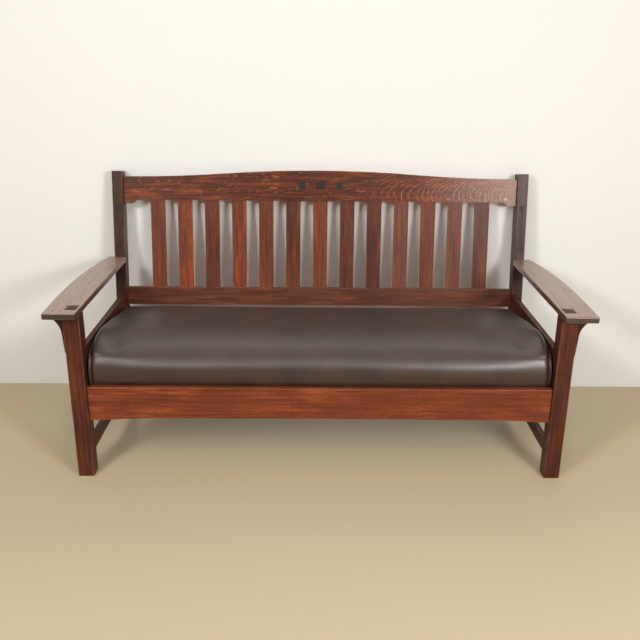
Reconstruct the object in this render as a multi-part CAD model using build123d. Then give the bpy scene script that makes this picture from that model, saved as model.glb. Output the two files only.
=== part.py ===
from build123d import *
import os
from math import cos, radians, sin, tan

# A mission settle in oak: raked slat back, flat bowed arms on corbels, and a drop-in leather seat.
# Millimetres. X runs to the right as seen from the front, Y runs to the back and Z is up.
# Left and right are as seen from the front. Depths are measured from the front face of the
# front posts. A piece is saved about the spot on the floor under the middle of the settle.

# The space between the posts
clear_width = 1652.0
clear_depth = 609.0

# Front posts, with a tenon that shows through the arm
front_post_width = 57.0
front_post_depth = 57.0
arm_tenon_width = 38.0
arm_tenon_depth = 45.0
arm_tenon_side_rise = 1.5
arm_tenon_tip_rise = 4.5
arm_tenon_tip_share = 0.14

# Rear posts, straight up to the bend and raked back above it
rear_post_width = 45.0
rear_post_depth = 55.0
bend_height = 430.0
rake_angle = 9.0
raked_length = 576.0

# Edges that a hand touches
post_edge_round = 3.0
post_end_chamfer = 2.5
rail_edge_round = 2.0
board_edge_chamfer = 1.2

# Arms, bowed outwards and notched round the rear posts
arm_top_height = 643.0
arm_thickness = 22.0
arm_front_overhang = 38.0
arm_front_lip = 56.0
arm_widest_lip = 64.0
arm_rear_lip = 27.0
arm_widest_share = 0.4
arm_tail = 16.0
arm_front_corner = 4.0
arm_rear_corner = 14.0
arm_edge_round = 4.0
arm_under_chamfer = 2.0

# Corbels on the outer sides of the front posts
corbel_height = 144.0
corbel_width = 56.0
corbel_thickness = 25.0
corbel_nose = 7.0
corbel_sweep = 67.0
corbel_throat = 12.0
corbel_toe_width = 7.0
corbel_toe_rise = 6.0

# Joints
tenon_thickness = 10.0
tenon_haunch = 20.0
tenon_reach = 26.0
tenon_clear = 3.0
glue_gap = 0.2
dowel_radius = 4.0
dowel_half_length = 22.0
dowel_gap = 0.1
dowel_end_gap = 1.0
cut_overrun = 5.0

# Front and rear seat rails
seat_rail_top = 351.5
seat_rail_height = 128.0
seat_rail_thickness = 22.0
front_rail_setback = 12.0
arch_rise = 10.0
arch_end_flat = 26.0
arch_shoulder_share = 0.73
arch_shoulder_fall_share = 0.25

# Side rails beside the seat and low stretchers, flush with the posts' inner faces
side_rail_thickness = 20.0
side_rail_top = 496.0
side_rail_height = 180.0
stretcher_top = 134.5
stretcher_height = 44.5
stretcher_haunch = 7.0

# Back: the lower rail is measured up the rake from the bend, the crest rail down from the posts' tops
back_setback = 12.5
back_rail_thickness = 25.0
lower_rail_base = 12.0
lower_rail_height = 76.0
crest_end_drop = 22.0
crest_end_height = 96.0
crest_rise = 29.5
crest_end_flat = 26.0
ear_width = 30.0
ear_drop = 15.8
ear_sweep = 28.0

# Back slats
slat_count = 13
slat_end_gap = 109.7
slat_width = 61.0
slat_thickness = 12.0
slat_tenon_length = 12.0
slat_shoulder = 3.0
slat_cheek = 1.0

# Dark square plugs and the stringing between the posts' plugs
crest_plug_pitch = 76.5
crest_plug_base = 48.0
crest_plug_size = 34.0
crest_side_plug_size = 28.0
plug_depth = 8.0
plug_proud = 1.0
plug_bevel = 0.8
plug_gap = 0.1
post_plug_size = 18.0
post_plug_depth = 5.0
post_plug_rise = 45.0
stringing_length = 154.5
stringing_width = 5.0
stringing_depth = 2.0

# Cleats that the seat stands on, and their round-head screws
cleat_height = 24.0
cleat_width = 22.0
cleat_end_gap = 26.0
screw_count = 4
screw_length = 36.0
screw_radius = 2.1
screw_head_radius = 4.2
screw_head_height = 2.8
screw_gap = 0.1
screw_end_share = 0.06

# The drop-in seat's own frame, webbing and dust cover
seat_side_gap = 6.0
seat_front_gap = 2.0
seat_rear_bearing = 18.0
member_height = 50.0
member_thickness = 28.0
brace_height = 38.0
brace_share = 1 / 3
stub_tenon_length = 14.0
stub_tenon_inset = 8.0
corner_block_leg = 70.0
corner_block_height = 36.0
webbing_width = 50.0
webbing_thickness = 1.2
cross_web_count = 11
long_web_count = 4
dust_cover_thickness = 0.8
dust_cover_lap = 6.0
soft_gap = 0.4

# The leather cushion: rolled front, crowned top that falls to the back, drawn-in ends
cushion_side_gap = 6.0
cushion_front_inset = 8.0
cushion_front_tuck = 6.0
cushion_roll = 58.0
cushion_height = 144.0
cushion_rear_height = 88.0
cushion_rear_inset = 6.0
cushion_rear_round = 22.0
cushion_crown = 3.0
cushion_belly = 3.0
cushion_rear_dip = 4.0
cushion_rear_draw = 6.0
cushion_crown_shares = (0.97, 0.88, 0.68, 0.38)
cushion_shoulder = 2.0
cushion_end_depth = 19.0
cushion_end_tuck = 14.0
seam_share = 0.5
seam_tuck_share = 0.3
welt_sides = 8
welt_radius = 2.5
welt_lift = 0.7

# Places worked out from the sizes above
half_clear = clear_width / 2
front_post_face = half_clear + front_post_width
rear_post_face = half_clear + rear_post_width
back_face = front_post_depth + clear_depth
rake_sine = sin(radians(rake_angle))
rake_cosine = cos(radians(rake_angle))
rake_slope = tan(radians(rake_angle))
arm_underside = arm_top_height - arm_thickness
arm_back = back_face + (arm_top_height - bend_height) * rake_slope + arm_tail
seat_rail_base = seat_rail_top - seat_rail_height
front_rail_back = front_rail_setback + seat_rail_thickness
rear_rail_front = back_face + back_setback
lower_rail_top = lower_rail_base + lower_rail_height
crest_base = raked_length - crest_end_drop - crest_end_height
ear_base = crest_base - ear_drop
back_tenon_depth = back_setback + (back_rail_thickness - tenon_thickness) / 2
slat_depth = back_setback + (back_rail_thickness - slat_thickness) / 2
cushion_base = seat_rail_top + soft_gap
member_top = cushion_base - soft_gap - 2 * webbing_thickness
member_base = member_top - member_height
cleat_front = rear_rail_front - cleat_width
seat_front = front_rail_back + seat_front_gap
seat_rear = cleat_front + seat_rear_bearing
seat_half_width = half_clear - seat_side_gap
rearmost = back_face + (raked_length - post_end_chamfer) * rake_sine + rear_post_depth * rake_cosine
middle_depth = (rearmost - arm_front_overhang) / 2


def block(xs, ys, zs):
    """A rectangular block between two places on each axis."""
    size = (xs[1] - xs[0], ys[1] - ys[0], zs[1] - zs[0])
    centre = ((xs[0] + xs[1]) / 2, (ys[0] + ys[1]) / 2, (zs[0] + zs[1]) / 2)
    return Pos(*centre) * Box(*size)


def around(middle, size):
    """The two ends of a size centred on a place."""
    return (middle - size / 2, middle + size / 2)


def grown(span, gap):
    """A span made longer by a gap at both ends."""
    return (span[0] - gap, span[1] + gap)


def socket(xs, ys, zs, gap=glue_gap):
    """The hole for a block, with a gap all round it."""
    return block(grown(xs, gap), grown(ys, gap), grown(zs, gap))


def rod(radius, start, end):
    """A round rod between two points."""
    path = Line(start, end)
    return sweep(Plane(origin=start, z_dir=path % 0) * Circle(radius), path=path)


def dowel_hole(start, end):
    """The hole for a dowel that runs from front to back: a little wider and longer than the dowel."""
    spare = Vector(0, dowel_end_gap, 0)
    return rod(dowel_radius + dowel_gap, Vector(start) - spare, Vector(end) + spare)


def long_edges(shape, length):
    """A piece's edges that are longer than a length."""
    return shape.edges().filter_by(lambda edge: edge.length > length)


def flipped(shape):
    """The left-hand copy of a right-hand piece."""
    return mirror(shape, about=Plane.YZ)


def leaned(shape):
    """Leans back a shape drawn upright: X, depth behind the posts' front face, height above the bend."""
    return Pos(0, back_face, bend_height) * Rotation(-rake_angle, 0, 0) * shape


def side_view(x):
    """The plane of a drawing seen from the side: its first axis runs back and its second up."""
    return Plane(origin=(x, 0, 0), x_dir=(0, 1, 0), z_dir=(1, 0, 0))


def joined(edges):
    """One list of edges from curves and lines."""
    return [edge for curve in edges for edge in curve.edges()]


def seen_from_front(edges, depth, thickness):
    """A board cut to an outline drawn as X and Z, from a depth backwards."""
    mirrored = Plane(origin=(0, depth, 0), x_dir=(1, 0, 0), z_dir=(0, -1, 0))
    return extrude(mirrored * make_face(joined(edges)), -thickness)


def rear_post_blank():
    """The right rear post as sawn: its side profile through its width."""
    top_front = (back_face + raked_length * rake_sine, bend_height + raked_length * rake_cosine)
    top_back = (
        top_front[0] + rear_post_depth * rake_cosine,
        top_front[1] - rear_post_depth * rake_sine,
    )
    back_bend = bend_height - rear_post_depth * tan(radians(rake_angle / 2))
    outline = Polyline(
        (back_face, 0),
        (back_face, bend_height),
        top_front,
        top_back,
        (back_face + rear_post_depth, back_bend),
        (back_face + rear_post_depth, 0),
        close=True,
    )
    return extrude(side_view(half_clear) * make_face(outline), rear_post_width)


def side_spans(top, height, haunch):
    """The tenon of a board between the posts of one side: its widths and heights."""
    middle = half_clear + side_rail_thickness / 2
    return around(middle, tenon_thickness), (top - height + haunch, top - haunch)


def side_front_tenon(top, height, haunch):
    """Spans of a side board's front tenon, which stops short of the front rail's."""
    xs, zs = side_spans(top, height, haunch)
    front_tenon_back = front_rail_setback + (seat_rail_thickness + tenon_thickness) / 2
    return xs, (front_tenon_back + tenon_clear, front_post_depth), zs


def side_rear_tenon(top, height, haunch):
    """Spans of a side board's rear tenon, which stops short of the rear rail's and stays below the bend."""
    xs, zs = side_spans(top, height, haunch)
    rear_tenon_front = rear_rail_front + (seat_rail_thickness - tenon_thickness) / 2
    heights = (zs[0], min(zs[1], bend_height - tenon_haunch / 2))
    return xs, (back_face, rear_tenon_front - tenon_clear), heights


def seat_rail_tenon(front):
    """Spans of a seat rail's right tenon, for a rail whose front face is at a depth."""
    ys = around(front + seat_rail_thickness / 2, tenon_thickness)
    zs = (seat_rail_base + tenon_haunch, seat_rail_top - tenon_haunch)
    return (half_clear, half_clear + tenon_reach), ys, zs


def back_tenon(base, top):
    """Spans of a back rail's right tenon, upright."""
    ys = (back_tenon_depth, back_tenon_depth + tenon_thickness)
    return (half_clear, half_clear + tenon_reach), ys, (base, top)


def lower_back_tenon():
    """The lower back rail's tenon stands in from both of its edges."""
    inset = tenon_haunch / 2
    return back_tenon(lower_rail_base + inset, lower_rail_top - inset)


def crest_tenon():
    """The crest rail's tenon stands in from the crest's base and its flat end."""
    inset = tenon_haunch / 2
    return back_tenon(crest_base + inset, crest_base + crest_end_height - inset)


def side_boards():
    """Top, height and haunch of the side rail and of the low stretcher."""
    rail = (side_rail_top, side_rail_height, tenon_haunch)
    stretcher = (stretcher_top, stretcher_height, stretcher_haunch)
    return rail, stretcher


def arm_tenon_spans():
    """The part of the front post that passes through the arm."""
    xs = around(half_clear + front_post_width / 2, arm_tenon_width)
    ys = around(front_post_depth / 2, arm_tenon_depth)
    return xs, ys, (arm_underside, arm_top_height + arm_tenon_side_rise)


def arm_dowel_ends():
    """Start and end points of the two dowels between the arm and the rear post."""
    height = arm_top_height - arm_thickness / 2
    joint = back_face + (height - bend_height) * rake_slope
    places = around(half_clear + rear_post_width / 2, rear_post_width / 2)
    return [((x, joint - dowel_half_length, height), (x, joint + dowel_half_length, height)) for x in places]


def front_post():
    """The right front post with its through tenon and its mortises."""
    shape = block((half_clear, front_post_face), (0, front_post_depth), (0, arm_underside))
    shape = fillet(shape.edges().filter_by(Axis.Z), post_edge_round)
    shape = chamfer(shape.faces().sort_by(Axis.Z)[0].edges(), post_end_chamfer)
    xs, ys, zs = arm_tenon_spans()
    tip_plane = Plane(origin=(sum(xs) / 2, sum(ys) / 2, zs[1]))
    tip = Rectangle(arm_tenon_width, arm_tenon_depth)
    point = Rectangle(arm_tenon_width * arm_tenon_tip_share, arm_tenon_depth * arm_tenon_tip_share)
    rise = arm_tenon_tip_rise - arm_tenon_side_rise
    shape += block(xs, ys, zs)
    shape += loft([tip_plane * tip, tip_plane.offset(rise) * point])
    shape -= socket(*seat_rail_tenon(front_rail_setback))
    for board in side_boards():
        shape -= socket(*side_front_tenon(*board))
    return shape


def post_plug_heights():
    """Middles of a rear post's lower and upper plugs, up the rake from the bend."""
    arm_level = (arm_top_height - bend_height) / rake_cosine
    low = arm_level + post_plug_rise
    return low, low + stringing_length + post_plug_size


def post_plug_spans(height, proud=0.0):
    """One square plug in the rear post's front face, upright."""
    middle = half_clear + rear_post_width / 2
    return around(middle, post_plug_size), (-proud, post_plug_depth), around(height, post_plug_size)


def stringing_spans():
    """The thin strip let into the post between its plugs, upright."""
    low, high = post_plug_heights()
    middle = half_clear + rear_post_width / 2
    ends = (low + post_plug_size / 2, high - post_plug_size / 2)
    return around(middle, stringing_width), (0, stringing_depth), ends


def open_front(spans):
    """A pocket in a front face: grown by the plug gap at the sides, open to the front."""
    xs, ys, zs = spans
    return block(grown(xs, plug_gap), (-cut_overrun, ys[1]), grown(zs, plug_gap))


def rear_post():
    """The right rear post with its mortises, plug pockets and stringing groove."""
    shape = rear_post_blank()
    shape = fillet(long_edges(shape, raked_length / 2), post_edge_round)
    shape = chamfer(shape.faces().sort_by(Axis.Z)[0].edges(), post_end_chamfer)
    shape = chamfer(shape.faces().sort_by(Axis.Z)[-1].edges(), post_end_chamfer)
    shape -= socket(*seat_rail_tenon(rear_rail_front))
    for board in side_boards():
        shape -= socket(*side_rear_tenon(*board))
    shape -= leaned(socket(*lower_back_tenon()))
    shape -= leaned(socket(*crest_tenon()))
    for height in post_plug_heights():
        shape -= leaned(open_front(post_plug_spans(height)))
    shape -= leaned(open_front(stringing_spans()))
    for ends in arm_dowel_ends():
        shape -= dowel_hole(*ends)
    return shape


def upright_edge(shape, place):
    """The upright edge that stands at a place in plan."""
    level = shape.center().Z
    return shape.edges().filter_by(Axis.Z).sort_by_distance((*place, level))[0]


def arm():
    """The right arm: bowed outline, rounded edges, a notch for the rear post and a through mortise."""
    front = -arm_front_overhang
    widest_y = front + (arm_back - front) * arm_widest_share
    widest = (front_post_face + arm_widest_lip, widest_y)
    front_outer = (front_post_face + arm_front_lip, front)
    rear_outer = (rear_post_face + arm_rear_lip, arm_back)
    outline = [
        Line((half_clear, front), front_outer),
        TangentArc(widest, front_outer, tangent=(0, -1)),
        TangentArc(widest, rear_outer, tangent=(0, 1)),
        Line(rear_outer, (half_clear, arm_back)),
        Line((half_clear, arm_back), (half_clear, front)),
    ]
    shape = extrude(Plane.XY.offset(arm_underside) * make_face(joined(outline)), arm_thickness)
    shape = fillet(upright_edge(shape, front_outer), arm_front_corner)
    shape = fillet(upright_edge(shape, rear_outer), arm_rear_corner)
    shape = fillet(shape.faces().sort_by(Axis.Z)[-1].edges(), arm_edge_round)
    shape = chamfer(shape.faces().sort_by(Axis.Z)[0].edges(), arm_under_chamfer)
    shape -= rear_post_blank()
    xs, ys, zs = arm_tenon_spans()
    shape -= block(grown(xs, glue_gap), grown(ys, glue_gap), grown(zs, cut_overrun))
    for ends in arm_dowel_ends():
        shape -= dowel_hole(*ends)
    return shape


def corbel():
    """The right corbel: a concave sweep under the arm that dies into the post."""
    foot_height = arm_underside - corbel_height
    nose = (front_post_face + corbel_width, arm_underside - corbel_nose)
    throat = (front_post_face + corbel_throat, arm_underside - corbel_sweep)
    toe = (front_post_face + corbel_toe_width, foot_height + corbel_toe_rise)
    rising = (throat[0] - toe[0], throat[1] - toe[1])
    outline = [
        Polyline((front_post_face, foot_height), toe, throat),
        TangentArc(throat, nose, tangent=rising),
        Polyline(
            nose,
            (nose[0], arm_underside),
            (front_post_face, arm_underside),
            (front_post_face, foot_height),
        ),
    ]
    front = (front_post_depth - corbel_thickness) / 2
    return seen_from_front(outline, front, corbel_thickness)


def both_halves(edges, depth, thickness):
    """A board whose right half is drawn and whose left half mirrors it."""
    half = seen_from_front(edges, depth, thickness)
    return half + flipped(half)


def with_tenons(shape, spans):
    """Adds a right tenon and its left twin."""
    tenon = block(*spans)
    return shape + tenon + flipped(tenon)


def front_rail():
    """The front seat rail, with a shallow arch in its lower edge."""
    crown = seat_rail_base + arch_rise
    shoulder = (half_clear * arch_shoulder_share, crown - arch_rise * arch_shoulder_fall_share)
    end = (half_clear - arch_end_flat, seat_rail_base)
    middle = TangentArc((0, crown), shoulder, tangent=(1, 0))
    outline = [
        middle,
        TangentArc(shoulder, end, tangent=middle % 1),
        Polyline(
            end,
            (half_clear, seat_rail_base),
            (half_clear, seat_rail_top),
            (0, seat_rail_top),
            (0, crown),
        ),
    ]
    shape = both_halves(outline, front_rail_setback, seat_rail_thickness)
    shape = fillet(long_edges(shape, clear_width - rail_edge_round), rail_edge_round)
    shape = with_tenons(shape, seat_rail_tenon(front_rail_setback))
    return without_screw_holes(shape, -1)


def rear_rail():
    """The plain rear seat rail."""
    ys = (rear_rail_front, rear_rail_front + seat_rail_thickness)
    shape = block((-half_clear, half_clear), ys, (seat_rail_base, seat_rail_top))
    shape = chamfer(long_edges(shape, half_clear), board_edge_chamfer)
    shape = with_tenons(shape, seat_rail_tenon(rear_rail_front))
    return without_screw_holes(shape, 1)


def side_board(top, height, haunch):
    """A board between the posts of the right side, shouldered to the rear post's rake."""
    xs = (half_clear, half_clear + side_rail_thickness)
    reach = back_face + max(top - bend_height, 0) * rake_slope + cut_overrun
    shape = block(xs, (front_post_depth, reach), (top - height, top))
    shape = chamfer(long_edges(shape, clear_depth), board_edge_chamfer)
    shape -= rear_post_blank()
    shape += block(*side_front_tenon(top, height, haunch))
    return shape + block(*side_rear_tenon(top, height, haunch))


def slat_places():
    """Middles of the back slats, from left to right."""
    outermost = half_clear - slat_end_gap - slat_width / 2
    pitch = 2 * outermost / (slat_count - 1)
    return [pitch * number - outermost for number in range(slat_count)]


def slat_tenon_spans(x):
    """The core of a slat from the end of one tenon to the end of the other, upright."""
    xs = grown(around(x, slat_width), -slat_shoulder)
    ys = grown((slat_depth, slat_depth + slat_thickness), -slat_cheek)
    return xs, ys, (lower_rail_top - slat_tenon_length, crest_base + slat_tenon_length)


def slat(x):
    """One flat back slat between the lower rail and the crest rail."""
    ys = (slat_depth, slat_depth + slat_thickness)
    shape = block(around(x, slat_width), ys, (lower_rail_top, crest_base))
    shape = chamfer(shape.edges().filter_by(Axis.Z), board_edge_chamfer)
    return leaned(shape + block(*slat_tenon_spans(x)))


def without_slat_mortises(shape):
    """Cuts the slats' mortises into a back rail, upright."""
    for x in slat_places():
        shape -= socket(*slat_tenon_spans(x))
    return shape


def lower_back_rail():
    """The straight rail under the slats."""
    ys = (back_setback, back_setback + back_rail_thickness)
    shape = block((-half_clear, half_clear), ys, (lower_rail_base, lower_rail_top))
    shape = fillet(long_edges(shape, half_clear), rail_edge_round)
    return leaned(without_slat_mortises(with_tenons(shape, lower_back_tenon())))


def crest_outline():
    """The right half of the crest rail: an ogee top, a flat end and an ear below it."""
    end_top = crest_base + crest_end_height
    crown = (0, end_top + crest_rise)
    ogee_end = (half_clear - crest_end_flat, end_top)
    turn = (ogee_end[0] / 2, end_top + crest_rise / 2)
    ear_inner = half_clear - ear_width
    sweep_start = (ear_inner, ear_base)
    sweep_end = (ear_inner - ear_sweep, crest_base)
    sweep_turn = (ear_inner - ear_sweep / 2, crest_base - ear_drop / 2)
    return [
        TangentArc(crown, turn, tangent=(1, 0)),
        TangentArc(ogee_end, turn, tangent=(-1, 0)),
        Polyline(
            ogee_end,
            (half_clear, end_top),
            (half_clear, ear_base),
            sweep_start,
        ),
        TangentArc(sweep_start, sweep_turn, tangent=(-1, 0)),
        TangentArc(sweep_end, sweep_turn, tangent=(1, 0)),
        Polyline(sweep_end, (0, crest_base), crown),
    ]


def crest_plugs():
    """Middle and size of each plug in the crest rail, by name."""
    return {
        "crest_plug_left": (-crest_plug_pitch, crest_side_plug_size),
        "crest_plug_centre": (0, crest_plug_size),
        "crest_plug_right": (crest_plug_pitch, crest_side_plug_size),
    }


def crest_plug_spans(x, size, proud=0.0):
    """One plug in the crest rail's front face, upright, its lower edge in line with the others'."""
    base = crest_base + crest_plug_base
    return around(x, size), (back_setback - proud, back_setback + plug_depth), (base, base + size)


def crest_rail():
    """The serpentine crest rail with its ears, mortises and plug pockets."""
    shape = both_halves(crest_outline(), back_setback, back_rail_thickness)
    shape = fillet(crest_top_edges(shape), rail_edge_round)
    shape = without_slat_mortises(with_tenons(shape, crest_tenon()))
    for spot in crest_plugs().values():
        shape -= open_front(crest_plug_spans(*spot))
    return leaned(shape)


def crest_top_edges(shape):
    """The long edges along the crest's top, front and back."""
    end_top = crest_base + crest_end_height
    return shape.edges().filter_by(
        lambda edge: edge.center().Z > end_top - rail_edge_round and edge.length > back_rail_thickness
    )


def plug(spans):
    """A square plug with a bevelled face, a little smaller than its pocket."""
    shape = block(*spans)
    face = shape.faces().sort_by(Axis.Y)[0]
    return leaned(chamfer(face.edges(), plug_bevel))


def screw_ends(direction):
    """Head and tip points of one cleat's screws. Minus one is the front cleat, one the rear."""
    cleat_half = half_clear - cleat_end_gap
    outermost = cleat_half * (1 - 2 * screw_end_share)
    step = 2 * outermost / (screw_count - 1)
    head_y = front_rail_back + cleat_width if direction < 0 else cleat_front
    height = member_base - cleat_height / 2
    points = []
    for number in range(screw_count):
        x = step * number - outermost
        points.append(((x, head_y, height), (x, head_y + direction * screw_length, height)))
    return points


def screws(direction):
    """The round-head screws of one cleat."""
    shapes = []
    for head, tip in screw_ends(direction):
        crown = (head[0], head[1] - direction * screw_head_height, head[2])
        shapes.append(rod(screw_head_radius, head, crown) + rod(screw_radius, head, tip))
    return Compound(children=shapes)


def without_screw_holes(shape, direction):
    """Cuts the holes for one cleat's screws."""
    for head, tip in screw_ends(direction):
        shape -= rod(screw_radius + screw_gap, head, tip)
    return shape


def cleat(direction):
    """A cleat along the front rail (minus one) or the rear rail (one)."""
    cleat_half = half_clear - cleat_end_gap
    front = front_rail_back if direction < 0 else cleat_front
    heights = (member_base - cleat_height, member_base)
    shape = block((-cleat_half, cleat_half), (front, front + cleat_width), heights)
    return without_screw_holes(shape, direction)


def stub_tenon(x, height):
    """Spans of a member's core from the end of one stub tenon to the end of the other."""
    depths = (seat_front + member_thickness, seat_rear - member_thickness)
    zs = (member_base + stub_tenon_inset, member_base + height - stub_tenon_inset)
    return around(x, tenon_thickness), grown(depths, stub_tenon_length), zs


def cross_member(x, height):
    """A member of the seat's frame that runs from front to rear, tenoned at both ends."""
    depths = (seat_front + member_thickness, seat_rear - member_thickness)
    member = block(around(x, member_thickness), depths, (member_base, member_base + height))
    return member + block(*stub_tenon(x, height))


def cross_member_places():
    """Middle and height of the ends and the braces of the seat's frame, by name."""
    end = seat_half_width - member_thickness / 2
    brace = seat_half_width * brace_share
    return {
        "seat_frame_end_left": (-end, member_height),
        "seat_frame_brace_left": (-brace, brace_height),
        "seat_frame_brace_right": (brace, brace_height),
        "seat_frame_end_right": (end, member_height),
    }


def long_member(front):
    """The front or rear member of the seat's frame, mortised for the members between them."""
    ys = (front, front + member_thickness)
    shape = block((-seat_half_width, seat_half_width), ys, (member_base, member_top))
    for place in cross_member_places().values():
        shape -= socket(*stub_tenon(*place))
    return shape


def corner_block(rear):
    """The right-hand corner block at the front or the rear of the seat's frame."""
    x = seat_half_width - member_thickness
    y = seat_rear - member_thickness if rear else seat_front + member_thickness
    inward = -corner_block_leg if rear else corner_block_leg
    outline = Polyline((x, y), (x - corner_block_leg, y), (x, y + inward), close=True)
    base = Plane.XY.offset(member_top - corner_block_height)
    return extrude(base * make_face(outline), corner_block_height, dir=(0, 0, 1))


def spread(count, span):
    """Middles of evenly spread strips, with half a step left at each end."""
    step = (span[1] - span[0]) / count
    return [span[0] + step * (number + 1 / 2) for number in range(count)]


def cross_webbing():
    """Webbing strips from the front to the rear of the seat's frame."""
    inner = seat_half_width - member_thickness
    zs = (member_top, member_top + webbing_thickness)
    places = spread(cross_web_count, (-inner, inner))
    return Compound(children=[block(around(x, webbing_width), (seat_front, seat_rear), zs) for x in places])


def long_webbing():
    """Webbing strips along the seat, over the crosswise ones."""
    low = member_top + webbing_thickness
    zs = (low, low + webbing_thickness)
    places = spread(long_web_count, (seat_front + member_thickness, seat_rear - member_thickness))
    width = (-seat_half_width, seat_half_width)
    return Compound(children=[block(width, around(y, webbing_width), zs) for y in places])


def dust_cover():
    """The thin cloth tacked under the seat's frame, between the cleats."""
    xs = seat_half_width - dust_cover_lap
    front = front_rail_back + cleat_width + dust_cover_lap / 2
    rear = cleat_front - dust_cover_lap / 2
    return block((-xs, xs), (front, rear), (member_base - dust_cover_thickness, member_base))


def cushion_outline(fullness, tuck):
    """The cushion's side profile from its front base over to the rear.

    The fullness is none at the ends and one in the middle, and a tuck draws the whole profile in.
    """
    front = front_rail_setback + cushion_front_inset + tuck - cushion_belly * fullness
    rear = seat_rear - cushion_rear_inset - tuck - cushion_rear_draw * fullness
    top = cushion_base + cushion_height - tuck + cushion_crown * fullness
    rear_top = cushion_base + cushion_rear_height - tuck - cushion_rear_dip * fullness
    base_front = (front + cushion_front_tuck, cushion_base)
    face = (front, top - cushion_roll)
    crown_start = (front + cushion_roll, top)
    crown_end = (rear - cushion_rear_round, rear_top)
    crown = TangentArc(crown_start, crown_end, tangent=(1, 0))
    slope = crown % 1
    rear_radius = cushion_rear_round / (1 + slope.Y)
    back = (rear, rear_top - rear_radius * slope.X)
    return [
        TangentArc(face, base_front, tangent=(0, -1)),
        TangentArc(face, crown_start, tangent=(0, 1)),
        crown,
        TangentArc(crown_end, back, tangent=slope),
        Line(back, (rear, cushion_base)),
    ]


def cushion_section(x, fullness, tuck):
    """The cushion's closed section at a place along the settle."""
    outline = cushion_outline(fullness, tuck)
    base = Line(outline[0] @ 1, outline[-1] @ 1)
    return side_view(x) * make_face(joined([*outline, base]))


def cushion_end():
    """Where the cushion's right end starts to draw in, its welted seam, and the end itself."""
    end = half_clear - cushion_side_gap
    start = end - cushion_end_depth
    return start, start + cushion_end_depth * seam_share, end


def seam_tuck():
    """How far the welted seam is drawn in."""
    return cushion_end_tuck * seam_tuck_share


def cushion():
    """The leather cushion: crowned and bellied in the middle, and drawn in at both ends."""
    start, seam, end = cushion_end()
    sections = [
        (end, 0, cushion_end_tuck),
        (seam, 0, seam_tuck()),
        (start, 0, 0),
    ]
    for share in cushion_crown_shares:
        sections.append((start * share, 1 - share**2, -cushion_shoulder))
    left = [cushion_section(-x, fullness, tuck) for x, fullness, tuck in sections]
    right = [cushion_section(x, fullness, tuck) for x, fullness, tuck in reversed(sections)]
    return loft([*left, cushion_section(0, 1, -cushion_shoulder), *right], ruled=True)


def welt():
    """The piping that covers the seam round the cushion's right end."""
    seam = cushion_end()[1]
    path = side_view(seam) * Wire(joined(cushion_outline(0, seam_tuck() - welt_radius - welt_lift)))
    cord = Plane(origin=path @ 0, z_dir=path % 0) * RegularPolygon(welt_radius, welt_sides)
    depths = (0, back_face + back_setback)
    below = block(around(seam, cushion_end_depth), depths, (member_top, cushion_base))
    return sweep(cord, path=path) - below


def save(name, shape):
    """Writes one piece about the middle of the settle's footprint."""
    export_step(Pos(0, -middle_depth, 0) * shape, f"parts/{name}.step")


def save_pair(name, shape):
    """Writes a right-hand piece and its left-hand twin."""
    save(f"{name}_right", shape)
    save(f"{name}_left", flipped(shape))


def save_wooden_frame():
    """Posts, arms, rails, slats and what joins them."""
    rail, stretcher = side_boards()
    save_pair("front_post", front_post())
    save_pair("rear_post", rear_post())
    save_pair("arm", arm())
    save_pair("corbel", corbel())
    save_pair("side_rail", side_board(*rail))
    save_pair("stretcher", side_board(*stretcher))
    save("front_rail", front_rail())
    save("rear_rail", rear_rail())
    save("lower_back_rail", lower_back_rail())
    save("crest_rail", crest_rail())
    for number, x in enumerate(slat_places(), start=1):
        save(f"slat_{number:02d}", slat(x))
    dowels = [rod(dowel_radius, *ends) for ends in arm_dowel_ends()]
    save("arm_dowels", Compound(children=dowels + [flipped(dowel) for dowel in dowels]))


def save_inlays():
    """The dark plugs and the stringing."""
    for name, spot in crest_plugs().items():
        save(name, plug(crest_plug_spans(*spot, plug_proud)))
    low, high = post_plug_heights()
    save_pair("post_plug_lower", plug(post_plug_spans(low, plug_proud)))
    save_pair("post_plug_upper", plug(post_plug_spans(high, plug_proud)))
    save_pair("stringing", leaned(block(*stringing_spans())))


def save_seat():
    """The cleats on the frame, and the drop-in seat."""
    save("front_cleat", cleat(-1))
    save("rear_cleat", cleat(1))
    save("front_cleat_screws", screws(-1))
    save("rear_cleat_screws", screws(1))
    save("seat_frame_front", long_member(seat_front))
    save("seat_frame_rear", long_member(seat_rear - member_thickness))
    for name, place in cross_member_places().items():
        save(name, cross_member(*place))
    save_pair("corner_block_front", corner_block(False))
    save_pair("corner_block_rear", corner_block(True))
    save("cross_webbing", cross_webbing())
    save("long_webbing", long_webbing())
    save("dust_cover", dust_cover())
    save("seat_cushion", cushion())
    save("cushion_welts", Compound(children=[welt(), flipped(welt())]))


os.makedirs("parts", exist_ok=True)
save_wooden_frame()
save_inlays()
save_seat()
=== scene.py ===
import bpy
import bmesh
from math import asin, atan2, cos, pi, radians, sin
from mathutils import Matrix, Vector


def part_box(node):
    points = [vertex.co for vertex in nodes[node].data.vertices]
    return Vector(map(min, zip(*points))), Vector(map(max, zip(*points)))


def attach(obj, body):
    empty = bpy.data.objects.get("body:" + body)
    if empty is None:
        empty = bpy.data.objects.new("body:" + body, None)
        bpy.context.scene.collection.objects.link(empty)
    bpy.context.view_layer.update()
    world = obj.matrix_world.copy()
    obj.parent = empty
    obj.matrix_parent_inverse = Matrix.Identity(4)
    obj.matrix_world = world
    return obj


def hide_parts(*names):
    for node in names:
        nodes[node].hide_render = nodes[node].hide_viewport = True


# A mission settle in fumed, quarter-sawn oak with a leather drop-in seat. Metres, with X to the
# right as seen from the front, Y to the back and Z up. Left and right are as seen from the front.
# The cushion's section and the sizes of the marks in the materials are in millimetres.

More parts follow.
